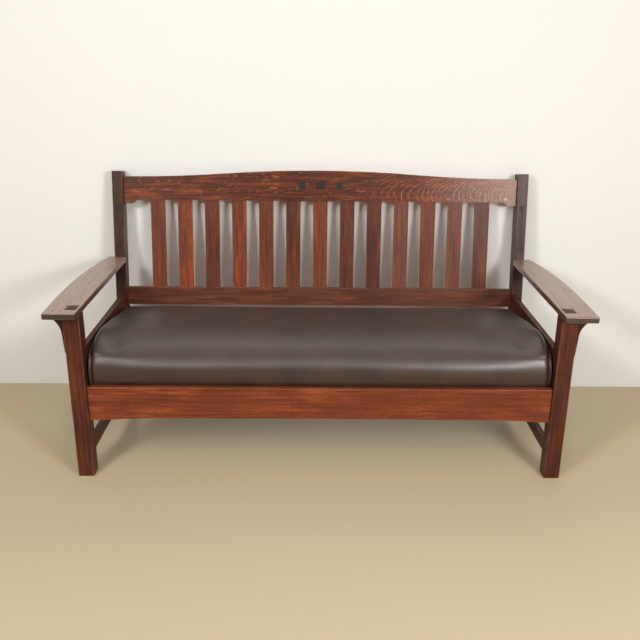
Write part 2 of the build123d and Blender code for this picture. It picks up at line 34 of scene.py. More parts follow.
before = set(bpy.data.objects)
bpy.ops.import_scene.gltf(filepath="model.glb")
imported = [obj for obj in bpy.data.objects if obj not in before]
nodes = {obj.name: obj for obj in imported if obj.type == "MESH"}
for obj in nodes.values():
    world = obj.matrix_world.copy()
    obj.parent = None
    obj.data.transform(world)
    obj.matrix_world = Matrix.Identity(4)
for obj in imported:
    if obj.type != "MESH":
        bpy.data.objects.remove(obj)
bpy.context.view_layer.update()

# Millimetres in a metre
PER_METRE = 1000
# The back leans this far from upright
RAKE = radians(9)
UP_RAKE = (0, sin(RAKE), cos(RAKE))
ALONG_X, ALONG_Y, ALONG_Z = (1, 0, 0), (0, 1, 0), (0, 0, 1)


# Materials

def linear(hex_colour):
    """An sRGB hex colour as linear RGBA."""
    parts = [int(hex_colour[start:start + 2], 16) / 255 for start in (1, 3, 5)]
    return (*[part / 12.92 if part <= 0.04045 else ((part + 0.055) / 1.055) ** 2.4 for part in parts], 1)


# What every node of these kinds is set to
USUAL = {"MapRange": {"interpolation_type": "SMOOTHSTEP"}, "Mix": {"data_type": "RGBA"}}


def add(tree, kind, inputs=(), output=None, **settings):
    """Adds a node with its settings, and gives its first open output or the one that is named.

    A list fills or links the node's open inputs in their order, and a dictionary does so by name.
    """
    node = tree.nodes.new("ShaderNode" + kind)
    for name, value in (USUAL.get(kind, {}) | settings).items():
        setattr(node, name, value)
    if isinstance(inputs, dict):
        pairs = [(node.inputs[name], value) for name, value in inputs.items()]
    else:
        pairs = list(zip([socket for socket in node.inputs if socket.enabled], inputs))
    for socket, value in pairs:
        if isinstance(value, bpy.types.NodeSocket):
            tree.links.new(value, socket)
        else:
            socket.default_value = value
    if output:
        return node.outputs[output]
    return next((socket for socket in node.outputs if socket.enabled), None)


def new_material(name):
    """An empty material and its node tree."""
    material = bpy.data.materials.new(name)
    material.use_nodes = True
    material.node_tree.nodes.clear()
    return material, material.node_tree


def paint(node, material):
    """Gives a CAD node its material."""
    for spot in nodes[node].material_slots:
        spot.material = material


def grain_axes(along, across):
    """A board's directions along its grain, across its face and through it."""
    return along, across, tuple(Vector(along).cross(Vector(across)))


def grain_space(tree, axes):
    """Object coordinates turned so that X runs along the grain, Y across the face and Z through it."""
    place = add(tree, "TexCoord", output="Object")
    parts = [add(tree, "VectorMath", [place, axis], operation="DOT_PRODUCT") for axis in axes]
    return add(tree, "CombineXYZ", parts)


def board_reach(node, axes):
    """A board's lowest and highest places in its own grain space."""
    axes = [Vector(axis) for axis in axes]
    spots = [vertex.co for vertex in nodes[node].data.vertices]
    lows = tuple(min(spot.dot(axis) for spot in spots) for axis in axes)
    highs = tuple(max(spot.dot(axis) for spot in spots) for axis in axes)
    return lows, highs


def mottle(tree, place, size, stretch=(1, 1, 1), detail=1.0, distortion=0.0):
    """Soft mottling with marks of a size in millimetres, drawn out by a stretch along each axis."""
    pulled = add(tree, "VectorMath", [place, tuple(1 / part for part in stretch)], operation="MULTIPLY")
    marks = {"Vector": pulled, "Scale": PER_METRE / size, "Detail": detail, "Distortion": distortion}
    return add(tree, "TexNoise", marks)


def thin_lines(tree, phase, width):
    """Thin bright lines, one for each whole number of a phase, as wide as a share of their spacing."""
    away = add(tree, "Math", [phase, 0.5], operation="PINGPONG")
    return add(tree, "MapRange", [away, 0.0, width, 1.0, 0.0])


# Colours that all the oak shares: its pores, end grain and rubbed edges, and the painted sheen on the tops of
# the arms
PORE, END_GRAIN, RUBBED, PAINTED_TOP_SHEEN = "#1c0e09", "#240f08", "#835640", "#a07d69"
# Pores are drawn this wide, several times their real width, so that they show
PORE_WIDTH = 1.5
# Painted glare: the greyer, paler wood and rays that the crest rail's right end is blended to, standing in
# for a softbox's reflection
PAINTED_GLARE, PAINTED_GLARE_RAY = "#8a6a60", "#e0bda9"
# A board is rubbed all over up to the first distance from its edges, and fades out to the second
RUBBED_NEAR, RUBBED_FAR = 0.001, 0.0045
# The crest rail's ray arcs reach furthest left at this height above its lower edge, and bow away from
# there by so many metres for each square metre
ARC_MIDDLE = 0.042
UPPER_BOW, LOWER_BOW = 17.0, 13.0
# The arcs' number for each metre, and how fast they draw together beyond their start
ARC_COUNT, ARC_CLOSING, ARC_START = 27.0, 30.0, 0.2
# Half a slat's width, across which its ripple marks bow by this share of their pitch
RIPPLE_REACH, RIPPLE_BOW = 0.03, 0.35


def wood_colour(tree, grain, deep, warm, red, glow):
    """Bands a few millimetres wide, a slow drift of depth and redder streaks. Gives the bands as well."""
    bands = mottle(tree, grain, 6, stretch=(34, 1, 1), detail=3.0)
    drift = mottle(tree, grain, 70, stretch=(5, 1, 1), detail=2.0, distortion=0.3)
    streaks = mottle(tree, grain, 17, stretch=(9, 1, 1), detail=2.0, distortion=0.2)
    colour = add(tree, "Mix", [add(tree, "MapRange", [bands, 0.3, 0.7]), deep, warm])
    colour = add(tree, "Mix", [add(tree, "MapRange", [drift, 0.42, 0.68, 0.0, 0.5]), colour, deep])
    streaked = add(tree, "MapRange", [streaks, 0.46, 0.68])
    open_wood = add(tree, "MapRange", [drift, 0.42, 0.6, 1.0, 0.25])
    glowing = add(tree, "Math", [streaked, open_wood], operation="MULTIPLY")
    glowing = add(tree, "Math", [glowing, glow], operation="MULTIPLY")
    return add(tree, "Mix", [glowing, colour, red]), bands


def ray_flecks(tree, grain, share):
    """Ray flecks: thin wandering lines that lean with the grain, broken short."""
    flow = mottle(tree, grain, 26, stretch=(6, 1, 1), distortion=0.25)
    flecks = thin_lines(tree, add(tree, "Math", [flow, 8.0], operation="MULTIPLY"), 0.11)
    broken = add(tree, "MapRange", [mottle(tree, grain, 15, stretch=(3.5, 1, 1)), 0.4, 0.64])
    flecks = add(tree, "Math", [flecks, broken], operation="MULTIPLY")
    return add(tree, "Math", [flecks, share], operation="MULTIPLY")


def crest_arcs(tree, board, length, low):
    """Ray arcs nested towards the crest rail's right end, bowed to the left and leaning at the top."""
    above = add(tree, "SeparateXYZ", [board], output="Y")
    for step in (low, ARC_MIDDLE):
        above = add(tree, "Math", [above, step], operation="SUBTRACT")
    bow = 0.0
    for part, strength in (("MAXIMUM", UPPER_BOW), ("MINIMUM", LOWER_BOW)):
        away = add(tree, "Math", [above, 0.0], operation=part)
        away = add(tree, "Math", [away, away], operation="MULTIPLY")
        bow = add(tree, "Math", [away, strength, bow], operation="MULTIPLY_ADD")
    sway = mottle(tree, board, 48, stretch=(1, 1.6, 1), detail=2.0)
    sway = add(tree, "Math", [sway, 0.05, -0.025], operation="MULTIPLY_ADD")
    bowed = add(tree, "Math", [length, bow], operation="SUBTRACT")
    bowed = add(tree, "Math", [bowed, sway], operation="ADD")
    beyond = add(tree, "Math", [bowed, ARC_START], operation="SUBTRACT")
    beyond = add(tree, "Math", [beyond, beyond], operation="MULTIPLY")
    phase = add(tree, "Math", [bowed, ARC_COUNT], operation="MULTIPLY")
    phase = add(tree, "Math", [beyond, ARC_CLOSING, phase], operation="MULTIPLY_ADD")

    broken = mottle(tree, board, 17, stretch=(1, 1.5, 1))
    broken = add(tree, "MapRange", [broken, 0.36, 0.56, 0.15, 1.0])
    strong = add(tree, "Math", [thin_lines(tree, phase, 0.085), broken], operation="MULTIPLY")
    broken = add(tree, "MapRange", [mottle(tree, board, 13), 0.48, 0.66, 0.0, 0.45])
    growing = add(tree, "MapRange", [length, 0.4, 0.65, 1.0, 2.0])
    broken = add(tree, "Math", [broken, growing], operation="MULTIPLY")
    between = add(tree, "Math", [phase, 2.0, 0.5], operation="MULTIPLY_ADD")
    weak = add(tree, "Math", [thin_lines(tree, between, 0.16), broken], operation="MULTIPLY")
    arcs = add(tree, "Math", [strong, weak], operation="MAXIMUM")
    return add(tree, "Math", [arcs, add(tree, "MapRange", [length, 0.17, 0.33])], operation="MULTIPLY")


def ripple_marks(tree, board, grain, middle, pitch, share):
    """Ripple marks straight across the grain, a little bowed, where the rays are cut short."""
    aside = add(tree, "SeparateXYZ", [board], output="Y")
    aside = add(tree, "Math", [aside, middle], operation="SUBTRACT")
    aside = add(tree, "Math", [aside, RIPPLE_REACH], operation="DIVIDE")
    aside = add(tree, "Math", [aside, aside], operation="MULTIPLY")
    beat = add(tree, "SeparateXYZ", [grain], output="X")
    beat = add(tree, "Math", [beat, PER_METRE / pitch], operation="MULTIPLY")
    beat = add(tree, "Math", [aside, RIPPLE_BOW, beat], operation="MULTIPLY_ADD")
    beat = add(tree, "Math", [mottle(tree, grain, 26, detail=2.0), 2.4, beat], operation="MULTIPLY_ADD")
    patches = add(tree, "MapRange", [mottle(tree, grain, 40, stretch=(2.5, 1, 1)), 0.4, 0.6])
    marks = add(tree, "Math", [thin_lines(tree, beat, 0.3), patches], operation="MULTIPLY")
    return add(tree, "Math", [marks, share], operation="MULTIPLY")


def rubbed_edges(tree, board, reach, facing, through):
    """Where hands and cloths have rubbed a board's edges: on its rounded corners and just beside them."""
    low, high = reach
    above_low = add(tree, "VectorMath", [board, low], operation="SUBTRACT")
    below_high = add(tree, "VectorMath", [high, board], operation="SUBTRACT")
    near = add(tree, "VectorMath", [above_low, below_high], operation="MINIMUM")
    # The middle one of the distances to the three nearest faces is the distance to an edge
    first, second, third = (add(tree, "SeparateXYZ", [near], output=part) for part in "XYZ")
    nearer = add(tree, "Math", [first, second], operation="MINIMUM")
    further = add(tree, "Math", [first, second], operation="MAXIMUM")
    edge = add(tree, "Math", [further, third], operation="MINIMUM")
    edge = add(tree, "Math", [nearer, edge], operation="MAXIMUM")
    beside = add(tree, "MapRange", [edge, RUBBED_NEAR, RUBBED_FAR, 1.0, 0.0])
    turn = add(tree, "VectorMath", [facing, through], operation="DOT_PRODUCT")
    turn = add(tree, "Math", [turn], operation="ABSOLUTE")
    off_edge = add(tree, "MapRange", [turn, 0.1, 0.4])
    off_face = add(tree, "MapRange", [turn, 0.86, 0.98, 1.0, 0.0])
    rounded = add(tree, "Math", [off_edge, off_face], operation="MULTIPLY")
    return add(tree, "Math", [beside, rounded], operation="MAXIMUM")


# How a board looks where nothing else is said: shares of its red glow, ray flecks and ripples, the
# ripples' pitch, its pores, its finish, how dark its end grain is, whether it has the crest rail's arcs
# and their painted glare, and how strong a painted sheen its upward faces get
BOARD_LOOK = dict(
    glow=0.5, flecks=0.35, ripples=0.0, pitch=8.0, pores=0.5, roughness=0.38, polish=0.12, wax=0.05, ends=0.9,
    arcs=False, top_sheen=0,
)


def fumed_oak(name, node, along, across, shift, tones, look):
    """Quarter-sawn white oak, fumed and waxed: straight fine grain, a red glow in streaks, and ray flecks.

    Fuming leaves the pores almost black and the hard rays paler and redder than the wood around them.
    The rays take a better polish too, so they catch the light first. The wax is a thin coat over all.
    """
    material, tree = new_material(name)
    look = BOARD_LOOK | look
    deep, warm, red, ray = (linear(tone) for tone in tones)
    axes = grain_axes(along, across)
    board, reach = grain_space(tree, axes), board_reach(node, axes)
    grain = add(tree, "VectorMath", [board, shift], operation="ADD")
    length = add(tree, "SeparateXYZ", [board], output="X")
    facing = add(tree, "NewGeometry", output="True Normal")

    colour, bands = wood_colour(tree, grain, deep, warm, red, look["glow"])
    if look["top_sheen"]:
        # Painted sheen: faces turned up are blended towards a pale colour, less along the darker bands,
        # standing in for the glare that the arm tops reflect
        top = add(tree, "SeparateXYZ", [facing], output="Z")
        top = add(tree, "MapRange", [top, 0.6, 0.95, 0.0, look["top_sheen"]])
        spared = add(tree, "MapRange", [bands, 0.25, 0.6, 0.55, 1.0])
        top = add(tree, "Math", [top, spared], operation="MULTIPLY")
        colour = add(tree, "Mix", [top, colour, linear(PAINTED_TOP_SHEEN)])
    pores = mottle(tree, grain, PORE_WIDTH, stretch=(13, 1, 1))
    pores = add(tree, "MapRange", [pores, 0.57, 0.7, 0.0, look["pores"]])
    colour = add(tree, "Mix", [pores, colour, linear(PORE)])

    rays = ray_flecks(tree, grain, look["flecks"])
    if look["arcs"]:
        away = add(tree, "MapRange", [length, 0.12, 0.3, 1.0, 0.15])
        rays = add(tree, "Math", [rays, away], operation="MULTIPLY")
        arcs = crest_arcs(tree, board, length, reach[0][1])
        rays = add(tree, "Math", [rays, arcs], operation="MAXIMUM")
        # Painted glare: towards the crest rail's right end the wood and its rays are blended paler and
        # greyer, standing in for a softbox's reflection
        painted_glare_share = add(tree, "MapRange", [length, 0.35, 0.75, 0.0, 0.5])
        colour = add(tree, "Mix", [painted_glare_share, colour, linear(PAINTED_GLARE)])
        ray = add(tree, "Mix", [painted_glare_share, ray, linear(PAINTED_GLARE_RAY)])
    if look["ripples"]:
        middle = (reach[0][1] + reach[1][1]) / 2
        ripples = ripple_marks(tree, board, grain, middle, look["pitch"], look["ripples"])
        rays = add(tree, "Math", [rays, ripples], operation="MAXIMUM")
    colour = add(tree, "Mix", [rays, colour, ray])

    # End grain drinks more of the fume and stain, and rubbed edges lose some
    ends = add(tree, "VectorMath", [facing, along], operation="DOT_PRODUCT")
    ends = add(tree, "Math", [ends], operation="ABSOLUTE")
    ends = add(tree, "MapRange", [ends, 0.75, 0.95, 0.0, look["ends"]])
    colour = add(tree, "Mix", [ends, colour, linear(END_GRAIN)])
    patchy = mottle(tree, grain, 22, stretch=(2, 1, 1), detail=3.0)
    patchy = add(tree, "MapRange", [patchy, 0.38, 0.66, 0.1, 0.7])
    worn = rubbed_edges(tree, board, reach, facing, axes[2])
    worn = add(tree, "Math", [worn, patchy], operation="MULTIPLY")
    elsewhere = add(tree, "Math", [1.0, ends], operation="SUBTRACT")
    worn = add(tree, "Math", [worn, elsewhere], operation="MULTIPLY")
    colour = add(tree, "Mix", [worn, colour, linear(RUBBED)])

    height = add(tree, "Math", [rays, 0.5], operation="MULTIPLY")
    height = add(tree, "Math", [pores, -1.0, height], operation="MULTIPLY_ADD")
    dull = add(tree, "Math", [rays, -0.1, look["roughness"] - 0.06], operation="MULTIPLY_ADD")
    dull = add(tree, "Math", [bands, 0.12, dull], operation="MULTIPLY_ADD")
    dull = add(tree, "Math", [ends, 0.2, dull], operation="MULTIPLY_ADD")
    if look["arcs"]:
        # The crest rail's right end is polished as well
        polished = add(tree, "MapRange", [length, 0.42, 0.8, 0.0, 0.11])
        dull = add(tree, "Math", [dull, polished], operation="SUBTRACT")
    dull = add(tree, "Math", [worn, -0.06, dull], operation="MULTIPLY_ADD")
    surface = add(tree, "BsdfPrincipled", {
        "Base Color": colour,
        "Normal": add(tree, "Bump", {"Strength": 0.3, "Distance": 0.0005, "Height": height}),
        "Roughness": dull,
        "Specular IOR Level": look["polish"],
        "Coat Weight": look["wax"],
        "Coat Roughness": 0.3,
    })
    add(tree, "OutputMaterial", [surface])
    return material


# Tones of the oak pieces: the deep wood, the warm wood, its red glow and the ray flecks
FRONT_POST = ("#381c14", "#582c1d", "#6c371f", "#7d4830")
REAR_POST = ("#2b1913", "#462a1e", "#5a3323", "#694535")
RAIL = ("#5a2a18", "#7d3e24", "#964c28", "#a8663f")
LOWER_BACK = ("#482618", "#693a28", "#80452b", "#8d5638")
CREST = ("#3d1f13", "#60311f", "#8c431f", "#b46539")
SLAT = ("#542a1b", "#783f29", "#984322", "#a5603d")
SLAT_DARK = ("#42231b", "#643626", "#84401f", "#965a3e")
SLAT_PALE = ("#543024", "#724132", "#8a482b", "#9d6148")
ARM = ("#3c2118", "#5c3625", "#6f412b", "#84583f")
# The arms' look, with a painted sheen on the tops of the arms
ARM_LOOK = dict(
    flecks=0.3, ripples=0.25, pitch=6.0, pores=0.75, roughness=0.3, polish=0.45, wax=0.6, top_sheen=0.85,
)


def oak(node, along, across, shift, tones, **look):
    """Gives one board its own oak, from its grain's directions and its own cut of the log."""
    paint(node, fumed_oak(f"fumed_oak_{node}", node, along, across, shift, tones, look))


for side, shift in (("left", 3.1), ("right", 7.7)):
    oak(f"front_post_{side}", ALONG_Z, ALONG_X, (shift, 0, 0), FRONT_POST, flecks=0.2, ends=0.2)
    oak(f"rear_post_{side}", UP_RAKE, ALONG_X, (0, shift, 0), REAR_POST, flecks=0.15)
    oak(f"corbel_{side}", ALONG_Z, ALONG_X, (0, 0, shift), FRONT_POST, flecks=0.2)
    oak(f"arm_{side}", ALONG_Y, ALONG_X, (shift, shift, 0), ARM, **ARM_LOOK)
    oak(f"side_rail_{side}", ALONG_Y, ALONG_Z, (shift, 0, shift), FRONT_POST, flecks=0.3)
    oak(f"stretcher_{side}", ALONG_Y, ALONG_Z, (0, 2 * shift, 0), FRONT_POST, flecks=0.2)
oak("front_rail", ALONG_X, ALONG_Z, (1.3, 0, 0), RAIL, glow=0.6, flecks=0.12)
oak("rear_rail", ALONG_X, ALONG_Z, (5.3, 0, 0), RAIL, flecks=0.3)
oak("lower_back_rail", ALONG_X, UP_RAKE, (9.3, 0, 0), LOWER_BACK, flecks=0.15)
oak("crest_rail", ALONG_X, UP_RAKE, (2.2, 0, 0), CREST, glow=0.6, flecks=0.6, arcs=True)

# Each slat's tones, glow, flecks, ripples and ripple pitch in millimetres, from left to right
SLATS = (
    (SLAT, 0.35, 0.1, 0.0, 8),
    (SLAT, 0.8, 0.3, 0.15, 9),
    (SLAT_DARK, 0.3, 0.1, 0.3, 9),
    (SLAT, 0.9, 0.3, 0.1, 8),
    (SLAT, 0.3, 0.1, 0.15, 9),
    (SLAT_DARK, 0.6, 0.15, 0.3, 9),
    (SLAT, 0.4, 0.1, 0.3, 8),
    (SLAT_DARK, 0.9, 0.15, 0.1, 9),
    (SLAT_DARK, 0.6, 0.1, 0.1, 8),
    (SLAT_PALE, 0.3, 0.1, 0.35, 8),
    (SLAT, 0.3, 0.1, 0.15, 9),
    (SLAT_PALE, 0.6, 0.1, 0.25, 9),
    (SLAT_DARK, 0.5, 0.1, 0.1, 8),
)
for number, (tones, glow, flecks, ripples, pitch) in enumerate(SLATS, start=1):
    shift = (number * 1.7, number * 0.9, 0)
    look = dict(glow=glow, flecks=flecks, ripples=ripples, pitch=pitch)
    oak(f"slat_{number:02d}", UP_RAKE, ALONG_X, shift, tones, **look)


def ebonised(name):
    """Oak stained black and waxed, for the plugs and the stringing: almost black, with a faint grain."""
    material, tree = new_material(name)
    grain = grain_space(tree, grain_axes(UP_RAKE, ALONG_X))
    fibre = mottle(tree, grain, 2.5, stretch=(14, 1, 1), detail=2.0)
    stained = add(tree, "MapRange", [fibre, 0.35, 0.65])
    surface = add(tree, "BsdfPrincipled", {
        "Base Color": add(tree, "Mix", [stained, linear("#17110e"), linear("#2a201b")]),
        "Normal": add(tree, "Bump", {"Strength": 0.3, "Distance": 0.0004, "Height": fibre}),
        "Roughness": 0.5,
        "Specular IOR Level": 0.2,
    })
    add(tree, "OutputMaterial", [surface])
    return material


black_oak = ebonised("ebonised_oak")
for name in nodes:
    if name.startswith(("crest_plug", "post_plug", "stringing")):
        paint(name, black_oak)


# How far the saw moved on for each tooth's pass, in millimetres
SAW_PITCH = 3.2


def sawn_poplar(name, along, across, shift):
    """Plain yellow poplar as sawn, unfinished: straw with a green-brown heart, fine grain and saw marks."""
    material, tree = new_material(name)
    board = grain_space(tree, grain_axes(along, across))
    grain = add(tree, "VectorMath", [board, shift], operation="ADD")
    bands = mottle(tree, grain, 9, stretch=(30, 1, 1), detail=3.0, distortion=0.3)
    heart = add(tree, "MapRange", [mottle(tree, grain, 60, stretch=(7, 1, 1)), 0.52, 0.7, 0.0, 0.6])
    fibre = mottle(tree, grain, 1.5, stretch=(22, 1, 1))
    grime = add(tree, "MapRange", [mottle(tree, board, 90, detail=3.0), 0.5, 0.75, 0.0, 0.35])
    colour = add(tree, "MapRange", [bands, 0.32, 0.68])
    colour = add(tree, "Mix", [colour, linear("#b08c5e"), linear("#cdb083")])
    colour = add(tree, "Mix", [heart, colour, linear("#8f8154")])
    streaked = add(tree, "MapRange", [fibre, 0.55, 0.72, 0.0, 0.35])
    colour = add(tree, "Mix", [streaked, colour, linear("#7c5f3c")])
    colour = add(tree, "Mix", [grime, colour, linear("#8b7350")])
    # Saw marks: one shallow ridge for each tooth's pass
    saw = add(tree, "SeparateXYZ", [grain], output="X")
    saw = add(tree, "Math", [saw, PER_METRE / SAW_PITCH], operation="MULTIPLY")
    saw = add(tree, "Math", [mottle(tree, grain, 12, stretch=(1, 6, 6)), 1.5, saw], operation="MULTIPLY_ADD")
    ridge = add(tree, "Math", [saw, 0.5], operation="PINGPONG")
    height = add(tree, "Math", [ridge, 0.6, fibre], operation="MULTIPLY_ADD")
    surface = add(tree, "BsdfPrincipled", {
        "Base Color": colour,
        "Normal": add(tree, "Bump", {"Strength": 0.35, "Distance": 0.0004, "Height": height}),
        "Roughness": add(tree, "MapRange", [bands, 0.3, 0.7, 0.62, 0.74]),
    })
    add(tree, "OutputMaterial", [surface])
    return material


# The hidden poplar pieces: their grain's directions, how far each one's cut is shifted, and their names
POPLAR = (
    (ALONG_X, ALONG_Z, (2.3, 0, 0), ("front_cleat", "rear_cleat", "seat_frame_front", "seat_frame_rear")),
    (ALONG_Y, ALONG_Z, (1.9, 0, 0), (
        "seat_frame_end_left", "seat_frame_end_right", "seat_frame_brace_left", "seat_frame_brace_right",
    )),
    (ALONG_X, ALONG_Y, (0, 1.4, 0), (
        "corner_block_front_left", "corner_block_front_right",
        "corner_block_rear_left", "corner_block_rear_right",
    )),
)
for along, across, step, names in POPLAR:
    for number, name in enumerate(names):
        shift = tuple(number * part for part in step)
        paint(name, sawn_poplar(f"sawn_poplar_{name}", along, across, shift))
paint("arm_dowels", sawn_poplar("sawn_poplar_arm_dowels", ALONG_Y, ALONG_X, (0, 0, 3.3)))


# Yarns are drawn this far apart, in millimetres, coarser than the real ones so that the weave shows
YARN = 2.5
# A strip's coloured yarns lie this far from its middle. They are full up to the first distance from
# their own middle and fade out to the second.
STRIPE_PLACE, STRIPE_FULL, STRIPE_END = 0.019, 0.0014, 0.0022
# Each webbing's direction, the way in which its strips lie side by side, where they start, how far
# they go, and their number
WEBBING = {
    "cross_webbing": (ALONG_Y, ALONG_X, -0.792, 1.584, 11),
    "long_webbing": (ALONG_X, ALONG_Y, -0.322019, 0.5825, 4),
}


def jute_webbing(name, along, across, start, pitch):
    """Woven jute webbing: tan, hairy yarn in a plain weave, with two red-brown yarns near each edge."""
    material, tree = new_material(name)
    cloth = grain_space(tree, grain_axes(along, across))
    yarns = [add(tree, "SeparateXYZ", [cloth], output=part) for part in "YX"]
    yarns = [add(tree, "Math", [yarn, PER_METRE / YARN], operation="MULTIPLY") for yarn in yarns]
    waves = [add(tree, "Math", [yarn, pi], operation="MULTIPLY") for yarn in yarns]
    waves = [add(tree, "Math", [wave], operation="SINE") for wave in waves]
    ridges = [add(tree, "Math", [yarn, 0.5], operation="PINGPONG") for yarn in yarns]
    over = add(tree, "Math", waves, operation="MULTIPLY")
    ridge = add(tree, "Math", [add(tree, "Math", ridges, operation="MULTIPLY"), 2.0], operation="MULTIPLY")
    weave = add(tree, "Math", [over, 0.25, ridge], operation="MULTIPLY_ADD")
    hair = mottle(tree, cloth, 2.5, stretch=(6, 1, 1), detail=2.0)
    colour = add(tree, "MapRange", [weave, -0.1, 0.5])
    colour = add(tree, "Mix", [colour, linear("#7b6440"), linear("#b89b6c")])
    hairs = add(tree, "MapRange", [hair, 0.5, 0.72, 0.0, 0.4])
    colour = add(tree, "Mix", [hairs, colour, linear("#d3bb90")])
    aside = add(tree, "SeparateXYZ", [cloth], output="Y")
    aside = add(tree, "Math", [aside, start], operation="SUBTRACT")
    aside = add(tree, "Math", [aside, pitch / 2], operation="PINGPONG")
    from_middle = add(tree, "Math", [pitch / 2, aside], operation="SUBTRACT")
    stripe = add(tree, "Math", [from_middle, STRIPE_PLACE], operation="SUBTRACT")
    stripe = add(tree, "Math", [stripe], operation="ABSOLUTE")
    stripe = add(tree, "MapRange", [stripe, STRIPE_FULL, STRIPE_END, 0.75, 0.0])
    surface = add(tree, "BsdfPrincipled", {
        "Base Color": add(tree, "Mix", [stripe, colour, linear("#7e3527")]),
        "Normal": add(tree, "Bump", {"Strength": 0.6, "Distance": 0.0008, "Height": weave}),
        "Roughness": add(tree, "MapRange", [hair, 0.3, 0.7, 0.82, 0.94]),
        "Sheen Weight": 0.2,
    })
    add(tree, "OutputMaterial", [surface])
    return material


for name, (along, across, start, span, count) in WEBBING.items():
    paint(name, jute_webbing(f"jute_{name}", along, across, start, span / count))


# The threads are drawn this far apart, in millimetres, coarser than the real cloth's so that they show
THREAD = 1.2


def black_cambric(name):
    """Black cotton cambric tacked under the frame: matt, dusty and a little slack between its tacks."""
    material, tree = new_material(name)
    spot = add(tree, "TexCoord", output="Object")
    dust = mottle(tree, spot, 120, detail=3.0)
    lint = add(tree, "MapRange", [mottle(tree, spot, 3, detail=2.0), 0.66, 0.8, 0.0, 0.4])
    colour = add(tree, "MapRange", [dust, 0.35, 0.75])
    colour = add(tree, "Mix", [colour, linear("#1b1a1b"), linear("#2e2b29")])
    threads = [add(tree, "SeparateXYZ", [spot], output=part) for part in "XY"]
    threads = [add(tree, "Math", [thread, PER_METRE / THREAD], operation="MULTIPLY") for thread in threads]
    threads = [add(tree, "Math", [thread, 0.5], operation="PINGPONG") for thread in threads]
    weave = add(tree, "Math", threads, operation="MULTIPLY")
    slack = mottle(tree, spot, 130, stretch=(1, 2.5, 1))
    woven = add(tree, "Bump", {"Strength": 0.4, "Distance": 0.0003, "Height": weave})
    surface = add(tree, "BsdfPrincipled", {
        "Base Color": add(tree, "Mix", [lint, colour, linear("#57524c")]),
        "Normal": add(tree, "Bump", {"Strength": 0.5, "Distance": 0.006, "Height": slack, "Normal": woven}),
        "Roughness": add(tree, "MapRange", [dust, 0.3, 0.7, 0.8, 0.92]),
        "Sheen Weight": 0.15,
    })
    add(tree, "OutputMaterial", [surface])
    return material


paint("dust_cover", black_cambric("black_cambric"))


# The pressed pebbles are drawn this wide, in millimetres, about twice their real width so that they show
PEBBLE = 2.2


def leather(name):
    """Pigmented upholstery leather, pressed with a fine pebble grain and softly polished.

    The colour is an even dark chocolate with a slight bloom, and the grain breaks the shine up.
    """
    material, tree = new_material(name)
    spot = add(tree, "TexCoord", output="Object")
    bloom = add(tree, "MapRange", [mottle(tree, spot, 140, detail=2.0), 0.3, 0.7])
    pebble = {"Vector": spot, "Scale": PER_METRE / PEBBLE}
    pebble = add(tree, "TexVoronoi", pebble, output="Distance", feature="F1")
    pressed = add(tree, "Bump", {"Strength": 0.12, "Distance": 0.0004, "Height": pebble})
    creases = mottle(tree, spot, 16, stretch=(1, 9, 6), detail=2.0)
    creases = {"Strength": 0.3, "Distance": 0.0008, "Height": creases, "Normal": pressed}
    surface = add(tree, "BsdfPrincipled", {
        "Base Color": add(tree, "Mix", [bloom, linear("#2f201a"), linear("#3a2820")]),
        "Normal": add(tree, "Bump", creases),
        "Roughness": add(tree, "MapRange", [mottle(tree, spot, 60, detail=2.0), 0.3, 0.7, 0.4, 0.46]),
        "Specular IOR Level": 0.4,
        "Coat Weight": 0.2,
        "Coat Roughness": 0.3,
    })
    add(tree, "OutputMaterial", [surface])
    return material


def oiled_steel(name):
    """Drawn steel wood screws, oiled and darkened with age: grey-brown, unevenly darkened."""
    material, tree = new_material(name)
    age = mottle(tree, add(tree, "TexCoord", output="Object"), 2.5, detail=3.0)
    darkened = add(tree, "MapRange", [age, 0.35, 0.65])
    surface = add(tree, "BsdfPrincipled", {
        "Base Color": add(tree, "Mix", [darkened, linear("#5a544e"), linear("#85796b")]),
        "Normal": add(tree, "Bump", {"Strength": 0.2, "Distance": 0.0002, "Height": age}),
        "Roughness": add(tree, "MapRange", [age, 0.3, 0.7, 0.3, 0.5]),
        "Metallic": 1.0,
    })
    add(tree, "OutputMaterial", [surface])
    return material


# Shaping

def shaped(piece, kind, **settings):
    """Gives a piece a modifier and applies it."""
    modifier = piece.modifiers.new(kind.lower(), kind)
    for name, value in settings.items():
        setattr(modifier, name, value)
    bpy.ops.object.select_all(action="DESELECT")
    bpy.context.view_layer.objects.active = piece
    piece.select_set(True)
    bpy.ops.object.modifier_apply(modifier=modifier.name)


def joined(pieces):
    """Joins pieces into the first of them."""
    bpy.ops.object.select_all(action="DESELECT")
    for piece in pieces:
        piece.select_set(True)
    bpy.context.view_layer.objects.active = pieces[0]
    bpy.ops.object.join()
    return pieces[0]


def placed(name, data):
    """A new object for a mesh or a curve."""
    piece = bpy.data.objects.new(name, data)
    bpy.context.scene.collection.objects.link(piece)
    return piece


def smooth(piece):
    """Smooth shading all over."""
    for face in piece.data.polygons:
        face.use_smooth = True


# The cushion's section in millimetres, before the stuffing swells it. Depths are behind the front
# posts' front face, which stands this far in front of the middle of the settle.
MIDDLE_DEPTH = 386.019
CUSHION_BASE = 351.9
CUSHION_FRONT, CUSHION_REAR = 20.0, 668.5
CUSHION_TOP, CUSHION_REAR_TOP = 495.9, 439.9
# The face bulges on a large radius, with its foremost line this high above the base. It leans back by
# this angle at its top and turns over a tight shoulder, and a brow slopes up from there to the crown.
FACE_RADIUS, FACE_MIDDLE, FACE_LEAN = 110.0, 50.0, radians(28)
SHOULDER_RADIUS = 20.0
BROW_SLOPE = radians(14)
CUSHION_REAR_ROUND = 22.0
# In the middle of its length the cushion is fullest: its face comes forward and its top up, its rear is
# drawn in and the rear of its top down
FACE_FULLNESS, TOP_FULLNESS, REAR_DRAW, REAR_DROP = 3, 3, 6, 12
